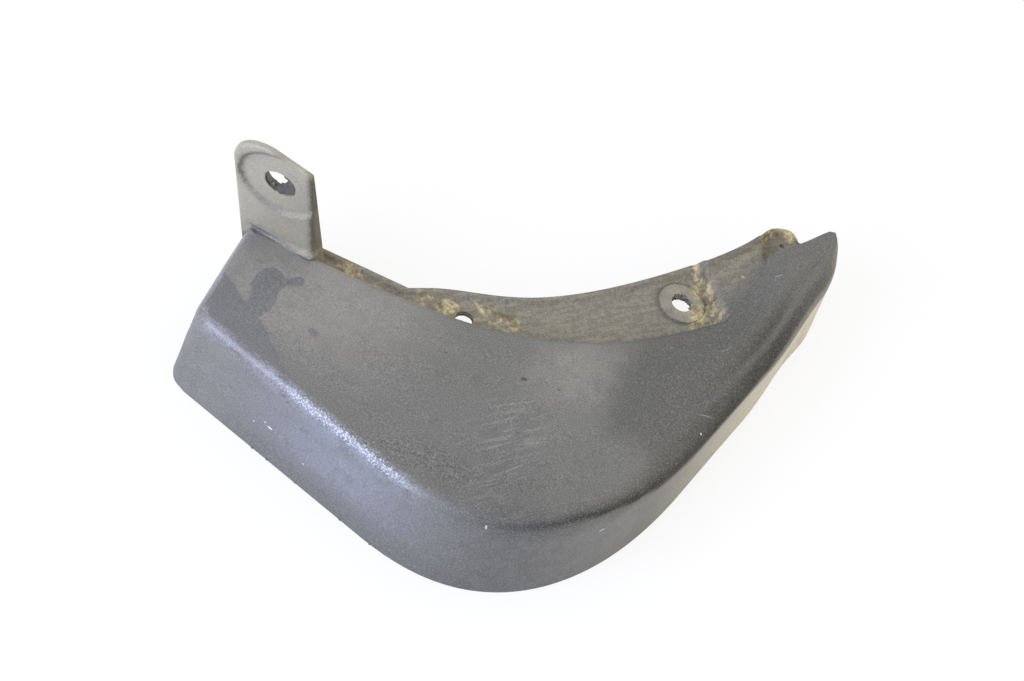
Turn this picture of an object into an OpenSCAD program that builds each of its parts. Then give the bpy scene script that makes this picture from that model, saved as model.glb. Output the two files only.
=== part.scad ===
// Rear mudguard of a car: one injection-moulded shell.
// A broad outer panel is rolled over into a deep skirt along its left end,
// its lower edge, the bend and the outer leg, which runs up to a pointed horn.
// Behind the panel's hollow edge the sheet steps down to a fixing flange with
// a raised lip, and an ear with its own fixing hole stands up at the left end.
// X runs along the lower leg, Y up the outer leg and Z out of the panel. The
// origin is the middle of the main fixing hole, in the face of its pad.

/* [Shell] */
// Width, from the left corner of the skirt to the outside of the outer leg
shell_w = 207; // [175:1:250]
// Length, from the lower edge of the skirt to the tip of the horn
shell_l = 279; // [235:1:335]
// Height of the panel above the free edge of the skirt
shell_h = 50; // [42:1:62]
// Thickness of the moulded wall
wall = 3; // [2.4:0.1:3.4]
// Reach of the bend along the lower leg
bend_w = 91; // [80:1:105]
// Reach of the bend up the outer leg
bend_l = 126; // [105:1:150]
// Rise of the panel's crown
crown = 2; // [0:0.5:4]

/* [Skirt] */
// How far the skirt's free edge stands out along the lower leg
draft_low = 2.5; // [1.5:0.5:4]
// How far it stands out at the left end
draft_end = 11; // [6:0.5:13]
// How far it stands out up the outer leg
draft_leg = 2; // [1:0.5:4]
// How far it stands out beside the horn
draft_horn = 6; // [4:0.5:9]
// Roll-over radius along the lower leg and the left end
roll_low = 6; // [5:0.5:8]
// Roll-over radius round the bend
roll_bend = 12; // [8:0.5:14]
// Rounding of the arris at the horn's tip
tip_r = 0.2; // [0.1:0.05:0.25]
// Rounding of the lower left corner
corner_r = 11; // [9:0.5:13]
// Height of the free edge where the skirt ends at the ear and at the horn
end_rise = 20; // [12:1:24]

/* [Panel] */
// Width of the panel at the left end
end_w = 56; // [48:1:66]
// Lean of the left end from the square
end_lean = 15.5; // [5:0.5:20]
// Width of the panel across the outer leg
leg_w = 31; // [26:1:36]
// Distance from the tongue down to the wide part of the panel, from the tip
leg_l = 90; // [76:1:104]
// Length of the horn's straight free edge
horn_l = 24; // [20:1:30]

/* [Flange] */
// Step from the panel down to the flange
step_h = 13; // [10:0.5:15]
// Rounding of the panel's hollow edge above the step
edge_r = 4; // [3:0.5:5]
// Fillet at the foot of the step
foot_r = 3; // [2:0.5:4]
// Width of the narrow strip beside the ear
strip_w = 16; // [14:0.5:20]
// Width of the flange at its wide end, from the panel to the lip
flange_w = 41; // [35:1:47]
// Height of the raised lip
lip_h = 2; // [1:0.25:3]
// Width of the raised lip
lip_w = 3; // [2:0.5:4]
// Drop of the tongue's outer edge below the panel
tongue_drop = 4; // [2:0.5:7]
// Radius of the rounded end tab
tab_r = 10.5; // [9:0.5:13]

/* [Holes] */
// Main fixing hole
main_hole_d = 9.5; // [7:0.5:12]
// Raised pad round the main fixing hole
main_pad_d = 23; // [20:0.5:26]
// Height of that pad
pad_h = 1.2; // [0.6:0.2:2]
// Second fixing hole
second_hole_d = 8.5; // [6:0.5:9]
// Blind dimple in the end tab
dimple_d = 2.5; // [2:0.5:4]
// Depth of that dimple
dimple_depth = 1.5; // [1:0.25:2]

/* [Ear] */
// Width of the ear's face
ear_w = 38; // [34:1:46]
// Height of the ear above the panel
ear_h = 64; // [56:1:76]
// Thickness at the top of the ear
ear_t = 3.5; // [3:0.5:4.5]
// Thickness at its root
ear_root_t = 6.5; // [5:0.5:8]
// Lean of the ear over the panel
ear_lean = 10; // [0:1:14]
// Sideways lean of the ear
ear_tilt = 9.5; // [0:0.5:12]
// Turn of the ear from the lower leg
ear_turn = 12; // [5:1:18]
// Hole in the ear
ear_hole_d = 15; // [12:0.5:18]
// Distance from the top of the ear to the middle of its hole
ear_hole_drop = 22; // [20:1:26]
// Round hollow in the face of the ear, across
dish_d = 41; // [36:1:48]
// Depth of that hollow
dish_depth = 1; // [0.5:0.25:1.5]

/* [Hidden] */

// Stations along the shell, and places of the columns across the panel
LOW = 7;
BEND = 13;
LEG = 4;
UPPER = 9;
HORN = 7;
MAIN = LOW + BEND + LEG;
LAST = MAIN + UPPER + HORN;
COLUMNS = [0, 0.06, 0.3, 0.55, 0.8, 0.95, 1];
COLS = len(COLUMNS) - 1;
// Points down each section, with the steps of its two arcs
ROLL = 5;
FOOT = 4;

// Plane geometry
function ray(a) = [cos(a), sin(a)];
function mix(a, b, t) = a + (b - a) * t;
function unit(v) = v / norm(v);
// Smooth rise from 0 to 1 while x goes from a to b
function rise(a, b, x) = let (t = min(1, max(0, (x - a) / (b - a)))) t * t * (3 - 2 * t);
// Curve from a to b that leaves at angle ha and arrives at angle hb, with fa
// and fb its handles as shares of the distance
function bend(a, ha, fa, b, hb, fb, t) =
    let (l = norm(b - a), p = a + fa * l * ray(ha), q = b - fb * l * ray(hb), s = 1 - t)
    s * s * s * a + 3 * s * s * t * p + 3 * s * t * t * q + t * t * t * b;

// Outline of the panel, as the sharp corner that its faces would make
left_dir = ray(90 + end_lean);
corner_x = 5;
corner = [corner_x, draft_low];
corner_mid = corner + corner_r * [tan(45 - end_lean / 2), 1];
bend_start = [shell_w - bend_w, draft_low];
bend_end = [shell_w - draft_leg - 0.5, bend_l];
leg_mid = bend_end + [-0.5, shell_l - leg_l - 4 - bend_l];
leg_end = bend_end + [-6, shell_l - 34 - bend_l];
tip = [shell_w - 25.5, shell_l];
left_top = corner + left_dir * (end_w + 2);
edge_end = [shell_w - draft_leg - leg_w, shell_l - leg_l];
tab_start = tip - [14.5, 40];
horn_start = tip - horn_l * ray(69);

function rim_at(i) =
    i <= 2 ? corner_mid + corner_r * ray(mix(mix(180 + end_lean, 270, 0.5), 270, i / 2)) :
    i <= LOW ? mix([corner_mid[0], draft_low], bend_start, (i - 2) / (LOW - 2)) :
    i <= LOW + BEND ? bend(bend_start, 0, 0.41, bend_end, 90, 0.49, (i - LOW) / BEND) :
    i <= MAIN ? mix(bend_end, leg_mid, (i - LOW - BEND) / LEG) :
    i <= MAIN + UPPER ? bend(leg_mid, 90.5, 0.35, leg_end, 94, 0.3, (i - MAIN) / UPPER) :
    bend(leg_end, 94, 0.36, tip + [1.6, 0.2], 137, 0.36, (i - MAIN - UPPER) / HORN);

function main_edge(t) = bend(left_top, 15, 0.52, edge_end, 65, 0.4, t);
function edge_share(i) = i > MAIN - 2 ? 1 - 0.02 * (MAIN - i) : (i / (MAIN - 2)) * 0.96;
function edge_at(i) =
    i <= MAIN ? main_edge(edge_share(i)) :
    i <= MAIN + 8 ? bend(edge_end, 75, 0.45, tab_start, 105, 0.3, pow((i - MAIN) / 8, 1.2)) :
    i <= MAIN + 11 ? bend(tab_start, 82, 0.3, horn_start, 66, 0.3, (i - MAIN - 8) / 3) :
    mix(horn_start, tip - [0.9, 1.6], (i - MAIN - 11) / (LAST - MAIN - 11));

// Loop of stations round the panel, counter-clockwise, as places in the grid
LOOP = concat(
    [for (i = [0:LAST]) [i, 0]], [for (j = [1:COLS - 1]) [LAST, j]],
    [for (i = [LAST:-1:0]) [i, COLS]], [for (j = [COLS - 1:-1:1]) [0, j]]);
COUNT = len(LOOP);
function left_at(j) = j < 2
    ? corner_mid + corner_r * ray(180 + end_lean + (1 - j) * (45 - end_lean / 2))
    : mix(left_at(1), left_top, (COLUMNS[j] - COLUMNS[1]) / (1 - COLUMNS[1]));
function outline_at(g) =
    g[1] == 0 ? rim_at(g[0]) :
    g[1] == COLS ? edge_at(g[0]) :
    g[0] == 0 ? left_at(g[1]) :
    mix(rim_at(g[0]), edge_at(g[0]), COLUMNS[g[1]]);
OUTLINE = [for (g = LOOP) outline_at(g)];

// The inner skin keeps back from the sharp tip of the horn, which is solid
function inner_station(i) = i - 1.4 * rise(LAST - 4, LAST, i);
INNER_OUTLINE = [for (g = LOOP) outline_at([inner_station(g[0]), g[1]])];

// Outward heading of the outline at point s of the loop
function outward(s) =
    let (d = unit(OUTLINE[(s + 1) % COUNT] - OUTLINE[s]) + unit(OUTLINE[s] - OUTLINE[(s + COUNT - 1) % COUNT]))
    unit([d[1], -d[0]]);

// Outer edge of the flange, station by station
strip_end = main_edge(0.25) + strip_w * ray(107);
lip_start = strip_end + [8.5, 9.5];
lip_end = edge_end + flange_w * ray(143.5);
tongue_start = lip_end + [5.5, 0.5];
tab_mid = tip - [15, 17];
tongue_end = tab_mid + tab_r * ray(187) + [0.5, -10];
function lip_at(i) =
    i <= 6 ? mix(left_top + strip_w * ray(100), strip_end, i / 6) :
    i <= MAIN ? bend(lip_start, 46, 0.22, lip_end, 68, 0.72, (i - 7) / (MAIN - 7)) :
    i <= MAIN + 7 ? bend(tongue_start, 70, 0.35, tongue_end, 82, 0.35, (i - MAIN - 1) / 6) :
    tab_mid + tab_r * ray(mix(187, 62, (i - MAIN - 8) / 4));

// The stations of the flange, and what changes along it
FLANGE_FIRST = 1;
FLANGE_LAST = MAIN + 12;
function on_flange(g) = g[1] == COLS && g[0] >= FLANGE_FIRST && g[0] <= FLANGE_LAST;
function tongue_share(i) = rise(MAIN, MAIN + 1, i) - rise(MAIN + 6.5, MAIN + 8.5, i);

// Roll-over radius, stand-out and free edge of the skirt at each station
function roll_along(g) =
    g[1] == COLS ? edge_r :
    g[1] > 0 ? roll_low :
    roll_low + (roll_bend - roll_low) * (rise(LOW - 1, LOW + 6, g[0]) - 0.6 * rise(MAIN - 6, MAIN, g[0])
        - 0.4 * rise(MAIN + UPPER - 2, LAST, g[0]));
function roll_at(g) = mix(roll_along(g), tip_r, rise(LAST - 3, LAST - 0.5, g[0]));
function draft_at(g) =
    g[1] == COLS ? (g[0] == 0 ? draft_end : 1.5) :
    g[0] == 0 ? mix(draft_low, draft_end, rise(-0.3, 1, COLUMNS[g[1]])) :
    g[0] == LAST ? mix(draft_horn, 1.5, COLUMNS[g[1]]) :
    draft_low + 0.5 * rise(LOW, LOW + 4, g[0])
        + (draft_leg - draft_low - 0.5) * rise(LOW + BEND - 4, MAIN, g[0])
        + (draft_horn - draft_leg) * rise(MAIN + 5, LAST - 1, g[0]);
horn_edge_z = shell_h - 1.5 * edge_r;
inner_r = 0.5;
function free_z(g) =
    g[1] == COLS ? (g[0] > 0 ? horn_edge_z : end_rise) :
    g[0] == 0 ? end_rise * rise(0.5, 1, COLUMNS[g[1]]) :
    g[0] < LAST ? end_rise * rise(LAST - 5, LAST, g[0]) :
    mix(end_rise, horn_edge_z, COLUMNS[g[1]]);

// Section of the skirt from the roll-over down to the free edge, as points
// [outward distance, height]; off is the depth below the outer face
function skirt_section(out, z_free, r, off) =
    let (draft = atan(out / (shell_h - z_free)), bent = max(r - off, inner_r))
    let (c = [-(off + bent) * tan(45 - draft / 2), shell_h - off - bent])
    let (low = [c[0] + (bent + (c[1] - z_free) * sin(draft)) / cos(draft), z_free])
    let (arc = [for (k = [0:ROLL]) c + bent * [sin((90 - draft) * k / ROLL), cos((90 - draft) * k / ROLL)]])
    concat(arc, [for (k = [1:FOOT + 5]) mix(arc[ROLL], low, k / (FOOT + 5))]);

// Section of the step and the flange, from the panel's edge out to the lip
step_lean = 14;
function flange_section(out, drop, z_lip, bump, off) =
    let (lean = step_lean + 70 * (1 - drop / step_h), half = tan(45 - lean / 2))
    let (c = [-edge_r * half, shell_h - edge_r])
    let (foot = [drop * tan(lean) + foot_r * half, shell_h - drop + foot_r])
    let (under = z_lip - off, top = under + (off == 0 ? bump : 0))
    concat(
        [for (k = [0:ROLL]) c + (edge_r - off) * [sin((90 - lean) * k / ROLL), cos((90 - lean) * k / ROLL)]],
        [for (k = [FOOT:-1:0]) foot - (foot_r + off) * [sin((90 - lean) * k / FOOT), cos((90 - lean) * k / FOOT)]],
        [[out - 1.5 * lip_w, under], [out - lip_w, top], [out - lip_w / 3, top], [out, (under + top) / 2]]);

POINTS_DOWN = ROLL + FOOT + 6;

// Section of station s, as points in space
function section_at(s, off) =
    let (g = LOOP[s], p = off == 0 ? OUTLINE[s] : INNER_OUTLINE[s])
    let (flat = on_flange(g), share = flat ? tongue_share(g[0]) : 0)
    let (span = flat ? lip_at(g[0]) - p : outward(s))
    let (drop = mix(step_h, 1.5, share), z_lip = shell_h - mix(step_h, tongue_drop, share))
    let (bump = g[0] == FLANGE_LAST ? 0 : lip_h)
    let (line = flat ? flange_section(norm(span), drop, z_lip, bump, off)
        : skirt_section(draft_at(g), free_z(g), roll_at(g), off))
    [for (q = line) [p[0] + unit(span)[0] * q[0], p[1] + unit(span)[1] * q[0], q[1]]];

// Points of the panel's face between the rolled edges
function place(g) = search([g], LOOP)[0];
function panel_at(rows, i, j, off) =
    let (a = rows[place([i, 0])][0], b = rows[place([i, COLS])][0], v = COLUMNS[j])
    mix(a, b, v) + [0, 0, crown * pow(sin(180 * v), 2) * sin(180 * i / LAST)];

// Closed skin of the shell: outer face, inner face and the rim between them
module shell() {
    inner_cols = COLS - 1;
    skins = [for (off = [0, wall])
        let (rows = [for (s = [0:COUNT - 1]) section_at(s, off)])
        concat(
            [for (row = rows) each row],
            [for (i = [1:LAST - 1]) for (j = [1:inner_cols]) panel_at(rows, i, j, off)])];
    size = len(skins[0]);
    loop_id = function (i, j) i == 0 && j > 0 && j < COLS ? COUNT - j
        : j == 0 ? i
        : j == COLS ? LAST + COLS + (LAST - i)
        : LAST + j;
    id = function (i, j) i > 0 && i < LAST && j > 0 && j < COLS
        ? COUNT * POINTS_DOWN + (i - 1) * inner_cols + j - 1
        : loop_id(i, j) * POINTS_DOWN;
    quads = concat(
        [for (i = [0:LAST - 1]) for (j = [0:COLS - 1])
            [id(i, j), id(i, j + 1), id(i + 1, j + 1), id(i + 1, j)]],
        [for (s = [0:COUNT - 1]) for (k = [0:POINTS_DOWN - 2])
            let (a = s * POINTS_DOWN + k, b = ((s + 1) % COUNT) * POINTS_DOWN + k)
            [a, b, b + 1, a + 1]]);
    halves = [for (q = quads) each [[q[0], q[1], q[2]], [q[0], q[2], q[3]]]];
    rim = [for (s = [0:COUNT - 1])
        let (a = (s + 1) * POINTS_DOWN - 1, b = ((s + 1) % COUNT + 1) * POINTS_DOWN - 1)
        each [[a, b, a + size], [b, b + size, a + size]]];
    polyhedron(
        points = concat(skins[0], skins[1]),
        faces = concat(halves, [for (f = halves) [f[0] + size, f[2] + size, f[1] + size]], rim),
        convexity = 8);
}

// Places of the fixings on the flange
function edge_heading(t) = let (d = main_edge(t + 0.01) - main_edge(t - 0.01)) atan2(d[1], d[0]);
function beside_edge(t, out) = main_edge(t) + out * ray(edge_heading(t) + 90);
flange_z = shell_h - step_h;
main_hole = beside_edge(0.967, 0.52 * flange_w);
second_hole = beside_edge(0.385, 10.7);

// Axes of the ear: origin on the panel, in line with its hole, X across, Y up
// the ear and Z out of its face
ear_foot = left_top + [16, 3.8];
module on_ear() {
    translate([ear_foot[0], ear_foot[1], shell_h])
        rotate([0, 0, ear_turn])
            rotate([90 + ear_lean, 0, 0])
                rotate([0, 0, ear_tilt])
                    children();
}

// Outline of the ear's face, with its round shoulder and its small corner
module ear_outline(flare) {
    shoulder = 0.41 * ear_w;
    left = -0.585 * ear_w;
    right = left + ear_w;
    hull() {
        translate([left + shoulder, ear_h - shoulder]) circle(r = shoulder, $fn = 48);
        translate([right - 3, ear_h - 11]) circle(r = 3, $fn = 24);
        translate([left, -ear_foot_drop]) square([ear_w + flare, 1]);
    }
}

ear_foot_drop = step_h + 4;
module ear() {
    taper = atan((ear_root_t - ear_t) / ear_h);
    difference() {
        intersection() {
            on_ear() hull() {
                translate([0, 0, -0.1]) linear_extrude(0.1) ear_outline(0);
                translate([0, ear_h, -ear_t]) rotate([taper, 0, 0]) translate([0, -ear_h, 0])
                    linear_extrude(0.1) ear_outline(1.5);
            }
            translate([-shell_w, -shell_l, flange_z - wall]) cube([2 * shell_w, 2 * shell_l, shell_h + ear_h]);
        }
        on_ear() translate([0, ear_h - ear_hole_drop, -dish_depth]) {
            cylinder(h = 2 * dish_depth, d = dish_d, $fn = 72);
        }
    }
}

// Tools that cut the holes, each a true cylinder
module bores() {
    for (hole = [[main_hole, main_hole_d], [second_hole, second_hole_d]])
        translate([hole[0][0], hole[0][1], flange_z - 2 * wall]) cylinder(h = 4 * wall, d = hole[1], $fn = 48);
    translate([tab_mid[0], tab_mid[1], flange_z - dimple_depth]) cylinder(h = wall, d = dimple_d, $fn = 24);
    on_ear() translate([0, ear_h - ear_hole_drop, -2 * ear_root_t])
        cylinder(h = 3 * ear_root_t, d = ear_hole_d, $fn = 64);
}

module mudguard() {
    color("dimgray") translate([-main_hole[0], -main_hole[1], -flange_z - pad_h]) difference() {
        union() {
            shell();
            ear();
            translate([main_hole[0], main_hole[1], flange_z - wall / 2])
                cylinder(h = wall / 2 + pad_h, d = main_pad_d, $fn = 64);
        }
        bores();
    }
}

mudguard();
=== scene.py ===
import bmesh
import bpy
import numpy as np
from mathutils import Matrix, Vector, noise


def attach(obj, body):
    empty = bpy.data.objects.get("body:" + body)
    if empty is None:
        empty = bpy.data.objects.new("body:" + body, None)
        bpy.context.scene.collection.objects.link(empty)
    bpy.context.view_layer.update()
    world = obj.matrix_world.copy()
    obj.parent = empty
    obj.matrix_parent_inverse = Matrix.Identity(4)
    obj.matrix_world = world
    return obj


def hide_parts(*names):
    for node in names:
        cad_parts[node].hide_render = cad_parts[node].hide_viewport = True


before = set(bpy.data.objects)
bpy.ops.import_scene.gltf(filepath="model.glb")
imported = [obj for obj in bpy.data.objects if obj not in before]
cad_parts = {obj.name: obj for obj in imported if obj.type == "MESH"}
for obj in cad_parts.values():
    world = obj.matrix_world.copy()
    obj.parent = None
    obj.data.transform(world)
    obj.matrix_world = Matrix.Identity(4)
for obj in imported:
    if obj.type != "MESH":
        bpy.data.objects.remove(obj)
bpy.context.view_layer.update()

# Camera
# It stands where the photograph was taken: in front of the lower leg, a little
# to the right, and looking down on the guard at about 50 degrees.
MM = 0.001


def in_metres(x, y, z):
    return Vector((x, y, z)) * MM


LENS, SENSOR = 73.83, 36
CAMERA_PLACE = in_metres(135.8, -668.7, 731.1)
CAMERA_RIGHT = Vector((0.7721, 0.5745, 0.2717))
CAMERA_AHEAD = Vector((-0.1879, 0.6147, -0.7660))

camera_data = bpy.data.cameras.new("camera")
camera_data.lens = LENS
camera_data.sensor_width = SENSOR
camera = bpy.data.objects.new("camera", camera_data)
back = -CAMERA_AHEAD.normalized()
over = back.cross(CAMERA_RIGHT).normalized()
right = over.cross(back)
camera.matrix_world = Matrix.Translation(CAMERA_PLACE) @ Matrix((right, over, back)).transposed().to_4x4()
bpy.context.scene.collection.objects.link(camera)
bpy.context.scene.camera = camera
bpy.context.scene.view_settings.view_transform = "Standard"

# The moulded shell
# One injection moulding of polypropylene: a panel rolled over into a deep skirt
# on three sides, with a step down to a fixing flange along its hollow edge. It is
# built as the source builds it, at finer steps and with its arrises rounded.
SHELL_W, SHELL_L, SHELL_H, WALL, CROWN = 207, 279, 50, 3, 2
BEND_W, BEND_L = 91, 126
DRAFT_LOW, DRAFT_END, DRAFT_LEG, DRAFT_HORN = 2.5, 11, 2, 6
DRAFT_TOP = 6  # the end wall stands steeper toward the ear than in the source
ROLL_LOW, ROLL_BEND, CORNER_R, END_RISE = 6, 12, 11, 20
TIP_R, INNER_R = 0.2, 0.5
END_W, END_LEAN, LEG_W, LEG_L, HORN_L = 56, 15.5, 31, 90, 24
STEP_H, EDGE_R, FOOT_R, STEP_LEAN = 13, 4, 3, 14
STRIP_W, FLANGE_W, LIP_H, LIP_W = 16, 41, 2, 3
TONGUE_DROP, TAB_R = 4, 10.5
ARRIS = 0.45

# Stations along the shell, as in the source
LOW, BEND, LEG, UPPER, HORN = 7, 13, 4, 9, 7
MAIN = LOW + BEND + LEG
LAST = MAIN + UPPER + HORN
FLANGE_FIRST = 1
FLANGE_LAST = MAIN + 12
CORNER_SHARE = 0.06


def ray(degrees):
    return np.array([np.cos(np.radians(degrees)), np.sin(np.radians(degrees))])


def mix(a, b, t):
    return a + (b - a) * t


def rise(a, b, x):
    t = np.clip((x - a) / (b - a), 0, 1)
    return t * t * (3 - 2 * t)


def curve(a, heading_a, share_a, b, heading_b, share_b, t):
    length = np.linalg.norm(b - a)
    p = a + share_a * length * ray(heading_a)
    q = b - share_b * length * ray(heading_b)
    s = 1 - t
    return s**3 * a + 3 * s * s * t * p + 3 * s * t * t * q + t**3 * b


corner = np.array([5.0, DRAFT_LOW])
corner_mid = corner + CORNER_R * np.array([np.tan(np.radians(45 - END_LEAN / 2)), 1])
bend_start = np.array([SHELL_W - BEND_W, DRAFT_LOW])
bend_end = np.array([SHELL_W - DRAFT_LEG - 0.5, BEND_L])
leg_mid = bend_end + [-0.5, SHELL_L - LEG_L - 4 - BEND_L]
leg_end = bend_end + [-6, SHELL_L - 34 - BEND_L]
tip = np.array([SHELL_W - 25.5, SHELL_L])
left_top = corner + ray(90 + END_LEAN) * (END_W + 2)
edge_end = np.array([SHELL_W - DRAFT_LEG - LEG_W, SHELL_L - LEG_L])
tab_start = tip - [14.5, 40]
horn_start = tip - HORN_L * ray(69)


def rim_at(i):
    if i <= 2:
        return corner_mid + CORNER_R * ray(mix((450 + END_LEAN) / 2, 270, i / 2))
    if i <= LOW:
        return mix(np.array([corner_mid[0], DRAFT_LOW]), bend_start, (i - 2) / (LOW - 2))
    if i <= LOW + BEND:
        return curve(bend_start, 0, 0.41, bend_end, 90, 0.49, (i - LOW) / BEND)
    if i <= MAIN:
        return mix(bend_end, leg_mid, (i - LOW - BEND) / LEG)
    if i <= MAIN + UPPER:
        return curve(leg_mid, 90.5, 0.35, leg_end, 94, 0.3, (i - MAIN) / UPPER)
    return curve(leg_end, 94, 0.36, tip + [1.6, 0.2], 137, 0.36, (i - MAIN - UPPER) / HORN)


def main_edge(t):
    return curve(left_top, 15, 0.52, edge_end, 65, 0.4, t)


def edge_at(i):
    if i <= MAIN:
        return main_edge(1 - 0.02 * (MAIN - i) if i > MAIN - 2 else i / (MAIN - 2) * 0.96)
    if i <= MAIN + 8:
        return curve(edge_end, 75, 0.45, tab_start, 105, 0.3, ((i - MAIN) / 8) ** 1.2)
    if i <= MAIN + 11:
        return curve(tab_start, 82, 0.3, horn_start, 66, 0.3, (i - MAIN - 8) / 3)
    return mix(horn_start, tip - [0.9, 1.6], (i - MAIN - 11) / (LAST - MAIN - 11))


def left_at(v):
    if v < CORNER_SHARE:
        return corner_mid + CORNER_R * ray(180 + END_LEAN + (1 - v / CORNER_SHARE) * (45 - END_LEAN / 2))
    return mix(left_at_corner, left_top, (v - CORNER_SHARE) / (1 - CORNER_SHARE))


left_at_corner = corner_mid + CORNER_R * ray(180 + END_LEAN)
strip_end = main_edge(0.25) + STRIP_W * ray(107)
lip_start = strip_end + [8.5, 9.5]
lip_end = edge_end + FLANGE_W * ray(143.5)
tongue_start = lip_end + [5.5, 0.5]
tab_mid = tip - [15, 17]
tongue_end = tab_mid + TAB_R * ray(187) + [0.5, -10]


def lip_station(i):
    if i <= 6:
        return mix(left_top + STRIP_W * ray(100), strip_end, i / 6)
    if i <= MAIN:
        return curve(lip_start, 46, 0.22, lip_end, 68, 0.72, (i - 7) / (MAIN - 7))
    if i <= MAIN + 7:
        return curve(tongue_start, 70, 0.35, tongue_end, 82, 0.35, (i - MAIN - 1) / 6)
    return tab_mid + TAB_R * ray(mix(187, 62, (i - MAIN - 8) / 4))


def lip_at(i):
    for gap in (6, MAIN, MAIN + 7):
        if gap < i < gap + 1:
            return mix(lip_station(gap), lip_station(gap + 1), i - gap)
    return lip_station(i)


def tongue_share(i):
    return rise(MAIN, MAIN + 1, i) - rise(MAIN + 6.5, MAIN + 8.5, i)


# The grid's lines: real stations between the source's whole ones, about 2 mm apart
GRID = 2.0
stations = []
for i in range(LAST):
    reach = max(np.linalg.norm(at(i + 1) - at(i)) for at in (rim_at, edge_at))
    steps = max(3, int(np.ceil(reach / GRID)))
    stations += [i + k / steps for k in range(steps)]
stations = np.array(stations + [LAST])
across = np.concatenate((np.linspace(0, CORNER_SHARE, 5), np.linspace(CORNER_SHARE, 1, 42)[1:]))

# The loop round the panel, counter-clockwise, as (station, share across)
loop = [(i, 0.0) for i in stations]
loop += [(LAST, v) for v in across[1:-1]]
loop += [(i, 1.0) for i in stations[::-1]]
loop += [(0, v) for v in across[-2:0:-1]]


def outline_at(i, v):
    if v == 0:
        return rim_at(i)
    if v == 1:
        return edge_at(i)
    return left_at(v) if i == 0 else mix(rim_at(i), edge_at(i), v)


outline = np.array([outline_at(i, v) for i, v in loop])
# The inner skin keeps back from the sharp tip of the horn, which is solid
inner_outline = np.array([outline_at(i - 1.4 * rise(LAST - 4, LAST, i), v) for i, v in loop])
ahead = np.roll(outline, -1, axis=0) - np.roll(outline, 1, axis=0)
ahead /= np.linalg.norm(ahead, axis=1)[:, None]
normals = np.stack((ahead[:, 1], -ahead[:, 0]), axis=1)
SMOOTHED = 3
normals = sum(np.roll(normals, k, axis=0) for k in range(-SMOOTHED, SMOOTHED + 1))
normals /= np.linalg.norm(normals, axis=1)[:, None]


def roll_radius(i, v):
    share = rise(LOW - 1, LOW + 6, i) - 0.6 * rise(MAIN - 6, MAIN, i) - 0.4 * rise(MAIN + UPPER - 2, LAST, i)
    along = ROLL_LOW + (ROLL_BEND - ROLL_LOW) * share if v == 0 else ROLL_LOW
    along = mix(along, EDGE_R, rise(0, 1, i) * rise(0.6, 1, v))
    return mix(along, TIP_R, rise(LAST - 3, LAST - 0.5, i))


def draft(i, v):
    if v == 1:
        return mix(DRAFT_TOP, 1.5, rise(0, 1, i))
    if i == 0:
        return mix(DRAFT_LOW, DRAFT_END, rise(-0.3, 1, v)) - (DRAFT_END - DRAFT_TOP) * rise(0.35, 1, v)
    if i == LAST:
        return mix(DRAFT_HORN, 1.5, v)
    low = mix(mix(DRAFT_LOW, DRAFT_END, rise(-0.3, 1, 0)), DRAFT_LOW, min(i, 1))
    return (low + 0.5 * rise(LOW, LOW + 4, i) + (DRAFT_LEG - DRAFT_LOW - 0.5) * rise(LOW + BEND - 4, MAIN, i)
            + (DRAFT_HORN - DRAFT_LEG) * rise(MAIN + 5, LAST - 1, i))


HORN_EDGE_Z = SHELL_H - 1.5 * EDGE_R


def free_edge(i, v):
    if v == 1:
        return mix(END_RISE, HORN_EDGE_Z, rise(0, 1, i))
    if i == LAST:
        return mix(END_RISE, HORN_EDGE_Z, v)
    if i == 0:
        return END_RISE * rise(0.5, 1, v)
    return END_RISE * rise(LAST - 5, LAST, i)


# A section is a line of points [outward, height] from the panel's edge, over the
# outside, round the free edge and back up the inside
ROLL_STEPS, FACE_STEPS, EDGE_STEPS, INNER_STEPS = 10, 42, 9, 8


def arc(centre, radius, first, last, steps):
    angles = np.radians(np.linspace(first, last, steps + 1))
    return centre + radius * np.stack((np.sin(angles), np.cos(angles)), axis=1)


def soften(points, reach, steps=3):
    """The line with each of its inner corners rounded off from reach before it to reach past it."""
    soft = [points[0]]
    for a, b, c in zip(points, points[1:], points[2:]):
        p = b + (a - b) * min(reach / np.linalg.norm(a - b), 0.5)
        q = b + (c - b) * min(reach / np.linalg.norm(c - b), 0.5)
        soft += [mix(mix(p, b, t), mix(b, q, t), t) for t in np.linspace(0, 1, steps)]
    return np.array(soft + [points[-1]])


def resample(line, count):
    """count + 1 points at even distances along a line."""
    far = np.concatenate(([0], np.cumsum(np.linalg.norm(np.diff(line, axis=0), axis=1))))
    want = np.linspace(0, far[-1], count + 1)
    return np.stack([np.interp(want, far, line[:, k]) for k in (0, 1)], axis=1)


def skirt_section(out, z_free, radius):
    lean = np.degrees(np.arctan(out / (SHELL_H - z_free)))
    half = np.tan(np.radians(45 - lean / 2))
    outer, inner = [
        arc(np.array([-(off + r) * half, SHELL_H - off - r]), r, 0, 90 - lean, ROLL_STEPS)
        for off, r in ((0, radius), (WALL, max(radius - WALL, INNER_R)))]
    slope = np.tan(np.radians(lean))
    feet = [np.array([a[-1][0] + slope * (a[-1][1] - z_free), z_free]) for a in (outer, inner)]
    up = mix(feet[0], outer[-1], 0.06), mix(feet[1], inner[-1], 0.06)
    rim = soften(np.array([up[0], feet[0], feet[1], up[1]]), ARRIS)
    return np.concatenate((
        outer, resample(np.array([outer[-1], up[0]]), FACE_STEPS)[1:], resample(rim, EDGE_STEPS)[1:],
        resample(np.concatenate(([up[1]], inner[::-1])), INNER_STEPS)[1:]))


FALL_STEPS = 10


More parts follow.
